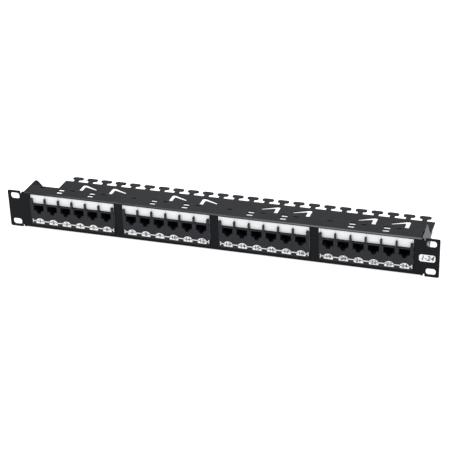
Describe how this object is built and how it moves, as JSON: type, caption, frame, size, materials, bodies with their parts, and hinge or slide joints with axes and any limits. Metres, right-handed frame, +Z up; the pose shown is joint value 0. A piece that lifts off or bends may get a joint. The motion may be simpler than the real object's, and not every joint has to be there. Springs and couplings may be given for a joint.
{
  "type": "rack patch panel",
  "caption": "One-unit rack patch panel with modular jack modules, label strips, wiring blocks at the back and a rear cable tray with lacing tabs.",
  "frame": {"origin": "middle of the front face of the steel, on the post between the two middle windows", "axes": "+X to the right seen from the front, +Y to the back, +Z up"},
  "size_m": [0.4826, 0.1196, 0.044],
  "materials": {
    "black_powder_coat": "fine-textured semi-gloss black powder coat on sheet steel",
    "black_plastic": "dark grey-black moulded plastic, fine texture",
    "white_card": "white card or printed film",
    "green_board": "green solder mask on glass-epoxy board",
    "wiring_block_plastic": "black moulded wiring-block plastic",
    "gold_plate": "gold-plated phosphor bronze",
    "zinc_plate": "bright zinc-plated steel"
  },
  "bodies": {
    "panel": {"front_panel": "black_powder_coat", "cable_tray": "black_powder_coat", "badge": "white_card", "jack_block_1": "black_plastic", "label_strip_1": "white_card", "number_strip_1": "white_card", "circuit_board_1": "green_board", "jack_block_2": "black_plastic", "label_strip_2": "white_card", "number_strip_2": "white_card", "circuit_board_2": "green_board", "jack_block_3": "black_plastic", "label_strip_3": "white_card", "number_strip_3": "white_card", "circuit_board_3": "green_board", "jack_block_4": "black_plastic", "label_strip_4": "white_card", "number_strip_4": "white_card", "circuit_board_4": "green_board", "wiring_block_01": "wiring_block_plastic", "wiring_block_02": "wiring_block_plastic", "wiring_block_03": "wiring_block_plastic", "wiring_block_04": "wiring_block_plastic", "wiring_block_05": "wiring_block_plastic", "wiring_block_06": "wiring_block_plastic", "wiring_block_07": "wiring_block_plastic", "wiring_block_08": "wiring_block_plastic", "wiring_block_09": "wiring_block_plastic", "wiring_block_10": "wiring_block_plastic", "wiring_block_11": "wiring_block_plastic", "wiring_block_12": "wiring_block_plastic", "tray_screw_1": "zinc_plate", "tray_screw_2": "zinc_plate", "tray_screw_3": "zinc_plate", "tray_screw_4": "zinc_plate"},
    "contact_01": {"contact_comb_01": "gold_plate"},
    "contact_02": {"contact_comb_02": "gold_plate"},
    "contact_03": {"contact_comb_03": "gold_plate"},
    "contact_04": {"contact_comb_04": "gold_plate"},
    "contact_05": {"contact_comb_05": "gold_plate"},
    "contact_06": {"contact_comb_06": "gold_plate"},
    "contact_07": {"contact_comb_07": "gold_plate"},
    "contact_08": {"contact_comb_08": "gold_plate"},
    "contact_09": {"contact_comb_09": "gold_plate"},
    "contact_10": {"contact_comb_10": "gold_plate"},
    "contact_11": {"contact_comb_11": "gold_plate"},
    "contact_12": {"contact_comb_12": "gold_plate"},
    "contact_13": {"contact_comb_13": "gold_plate"},
    "contact_14": {"contact_comb_14": "gold_plate"},
    "contact_15": {"contact_comb_15": "gold_plate"},
    "contact_16": {"contact_comb_16": "gold_plate"},
    "contact_17": {"contact_comb_17": "gold_plate"},
    "contact_18": {"contact_comb_18": "gold_plate"},
    "contact_19": {"contact_comb_19": "gold_plate"},
    "contact_20": {"contact_comb_20": "gold_plate"},
    "contact_21": {"contact_comb_21": "gold_plate"},
    "contact_22": {"contact_comb_22": "gold_plate"},
    "contact_23": {"contact_comb_23": "gold_plate"},
    "contact_24": {"contact_comb_24": "gold_plate"}
  },
  "joints": [
    {"name": "contact_press_01", "type": "hinge", "parent": "panel", "child": "contact_01", "pos_m": [-0.20422, 0.0051, 0.00826], "axis": [1, 0, 0], "range_deg": [0, 14], "stiffness_Nm_per_rad": 0.1},
    {"name": "contact_press_02", "type": "hinge", "parent": "panel", "child": "contact_02", "pos_m": [-0.18815, 0.0051, 0.00826], "axis": [1, 0, 0], "range_deg": [0, 14], "stiffness_Nm_per_rad": 0.1},
    {"name": "contact_press_03", "type": "hinge", "parent": "panel", "child": "contact_03", "pos_m": [-0.17208, 0.0051, 0.00826], "axis": [1, 0, 0], "range_deg": [0, 14], "stiffness_Nm_per_rad": 0.1},
    {"name": "contact_press_04", "type": "hinge", "parent": "panel", "child": "contact_04", "pos_m": [-0.15601, 0.0051, 0.00826], "axis": [1, 0, 0], "range_deg": [0, 14], "stiffness_Nm_per_rad": 0.1},
    {"name": "contact_press_05", "type": "hinge", "parent": "panel", "child": "contact_05", "pos_m": [-0.13995, 0.0051, 0.00826], "axis": [1, 0, 0], "range_deg": [0, 14], "stiffness_Nm_per_rad": 0.1},
    {"name": "contact_press_06", "type": "hinge", "parent": "panel", "child": "contact_06", "pos_m": [-0.12387, 0.0051, 0.00826], "axis": [1, 0, 0], "range_deg": [0, 14], "stiffness_Nm_per_rad": 0.1},
    {"name": "contact_press_07", "type": "hinge", "parent": "panel", "child": "contact_07", "pos_m": [-0.09452, 0.0051, 0.00826], "axis": [1, 0, 0], "range_deg": [0, 14], "stiffness_Nm_per_rad": 0.1},
    {"name": "contact_press_08", "type": "hinge", "parent": "panel", "child": "contact_08", "pos_m": [-0.07845, 0.0051, 0.00826], "axis": [1, 0, 0], "range_deg": [0, 14], "stiffness_Nm_per_rad": 0.1},
    {"name": "contact_press_09", "type": "hinge", "parent": "panel", "child": "contact_09", "pos_m": [-0.06239, 0.0051, 0.00826], "axis": [1, 0, 0], "range_deg": [0, 14], "stiffness_Nm_per_rad": 0.1},
    {"name": "contact_press_10", "type": "hinge", "parent": "panel", "child": "contact_10", "pos_m": [-0.04632, 0.0051, 0.00826], "axis": [1, 0, 0], "range_deg": [0, 14], "stiffness_Nm_per_rad": 0.1},
    {"name": "contact_press_11", "type": "hinge", "parent": "panel", "child": "contact_11", "pos_m": [-0.03025, 0.0051, 0.00826], "axis": [1, 0, 0], "range_deg": [0, 14], "stiffness_Nm_per_rad": 0.1},
    {"name": "contact_press_12", "type": "hinge", "parent": "panel", "child": "contact_12", "pos_m": [-0.01418, 0.0051, 0.00826], "axis": [1, 0, 0], "range_deg": [0, 14], "stiffness_Nm_per_rad": 0.1},
    {"name": "contact_press_13", "type": "hinge", "parent": "panel", "child": "contact_13", "pos_m": [0.01517, 0.0051, 0.00826], "axis": [1, 0, 0], "range_deg": [0, 14], "stiffness_Nm_per_rad": 0.1},
    {"name": "contact_press_14", "type": "hinge", "parent": "panel", "child": "contact_14", "pos_m": [0.03124, 0.0051, 0.00826], "axis": [1, 0, 0], "range_deg": [0, 14], "stiffness_Nm_per_rad": 0.1},
    {"name": "contact_press_15", "type": "hinge", "parent": "panel", "child": "contact_15", "pos_m": [0.04732, 0.0051, 0.00826], "axis": [1, 0, 0], "range_deg": [0, 14], "stiffness_Nm_per_rad": 0.1},
    {"name": "contact_press_16", "type": "hinge", "parent": "panel", "child": "contact_16", "pos_m": [0.06338, 0.0051, 0.00826], "axis": [1, 0, 0], "range_deg": [0, 14], "stiffness_Nm_per_rad": 0.1},
    {"name": "contact_press_17", "type": "hinge", "parent": "panel", "child": "contact_17", "pos_m": [0.07945, 0.0051, 0.00826], "axis": [1, 0, 0], "range_deg": [0, 14], "stiffness_Nm_per_rad": 0.1},
    {"name": "contact_press_18", "type": "hinge", "parent": "panel", "child": "contact_18", "pos_m": [0.09552, 0.0051, 0.00826], "axis": [1, 0, 0], "range_deg": [0, 14], "stiffness_Nm_per_rad": 0.1},
    {"name": "contact_press_19", "type": "hinge", "parent": "panel", "child": "contact_19", "pos_m": [0.12487, 0.0051, 0.00826], "axis": [1, 0, 0], "range_deg": [0, 14], "stiffness_Nm_per_rad": 0.1},
    {"name": "contact_press_20", "type": "hinge", "parent": "panel", "child": "contact_20", "pos_m": [0.14094, 0.0051, 0.00826], "axis": [1, 0, 0], "range_deg": [0, 14], "stiffness_Nm_per_rad": 0.1},
    {"name": "contact_press_21", "type": "hinge", "parent": "panel", "child": "contact_21", "pos_m": [0.15701, 0.0051, 0.00826], "axis": [1, 0, 0], "range_deg": [0, 14], "stiffness_Nm_per_rad": 0.1},
    {"name": "contact_press_22", "type": "hinge", "parent": "panel", "child": "contact_22", "pos_m": [0.17308, 0.0051, 0.00826], "axis": [1, 0, 0], "range_deg": [0, 14], "stiffness_Nm_per_rad": 0.1},
    {"name": "contact_press_23", "type": "hinge", "parent": "panel", "child": "contact_23", "pos_m": [0.18915, 0.0051, 0.00826], "axis": [1, 0, 0], "range_deg": [0, 14], "stiffness_Nm_per_rad": 0.1},
    {"name": "contact_press_24", "type": "hinge", "parent": "panel", "child": "contact_24", "pos_m": [0.20522, 0.0051, 0.00826], "axis": [1, 0, 0], "range_deg": [0, 14], "stiffness_Nm_per_rad": 0.1}
  ]
}
